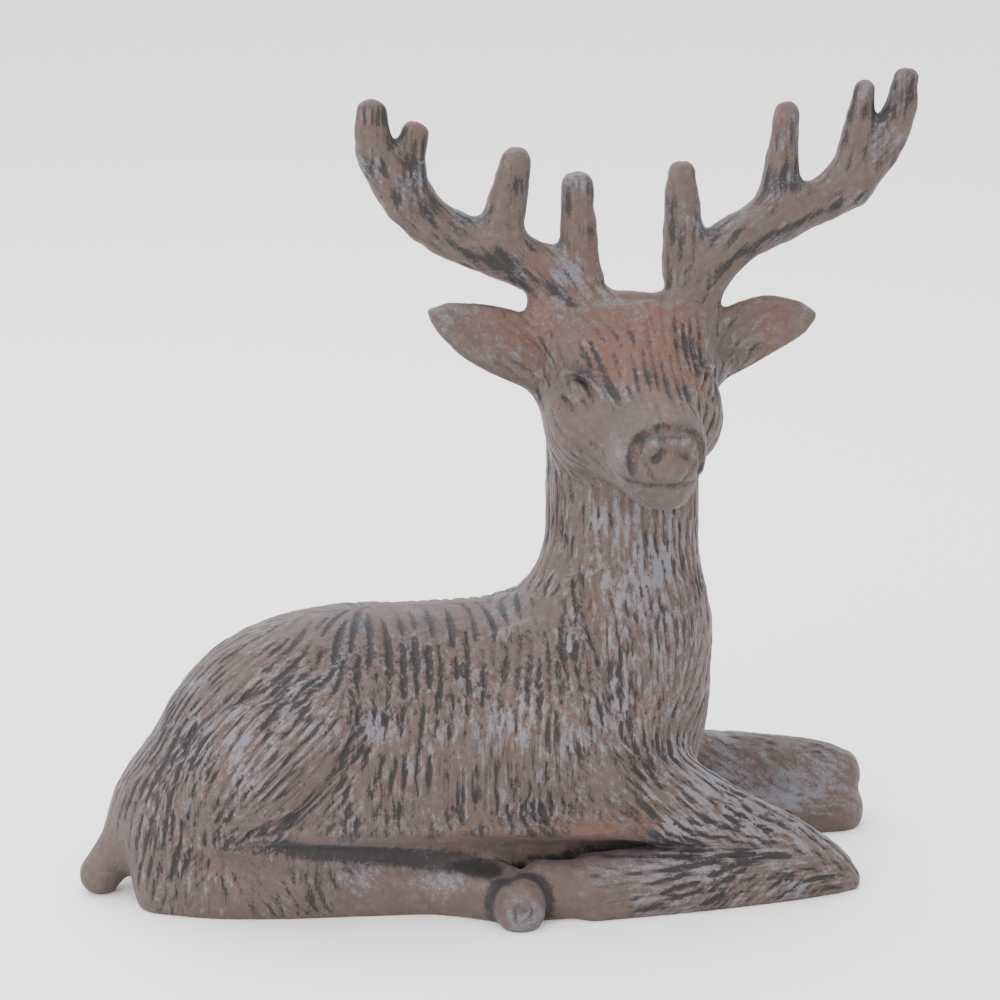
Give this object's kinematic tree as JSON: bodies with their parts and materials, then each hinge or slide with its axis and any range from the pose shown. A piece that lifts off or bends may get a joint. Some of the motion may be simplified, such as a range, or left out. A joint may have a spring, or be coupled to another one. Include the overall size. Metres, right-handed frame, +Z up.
{
  "type": "cast iron stag statue",
  "caption": "Cast iron statue of a resting stag with its head turned to one side, branched antlers, carved fur and folded legs, on a flat underside.",
  "frame": {"origin": "middle of the outline on the floor, under the body", "axes": "+X the way the body faces, -Y the side that the head looks to, +Z up"},
  "size_m": [0.2583, 0.1056, 0.2477],
  "materials": {
    "iron": "rust-brown paint over cast iron, dark in the cut lines and rubbed to a grey sheen on the raised parts"
  },
  "bodies": {
    "root": {"stag": "iron"}
  },
  "joints": []
}
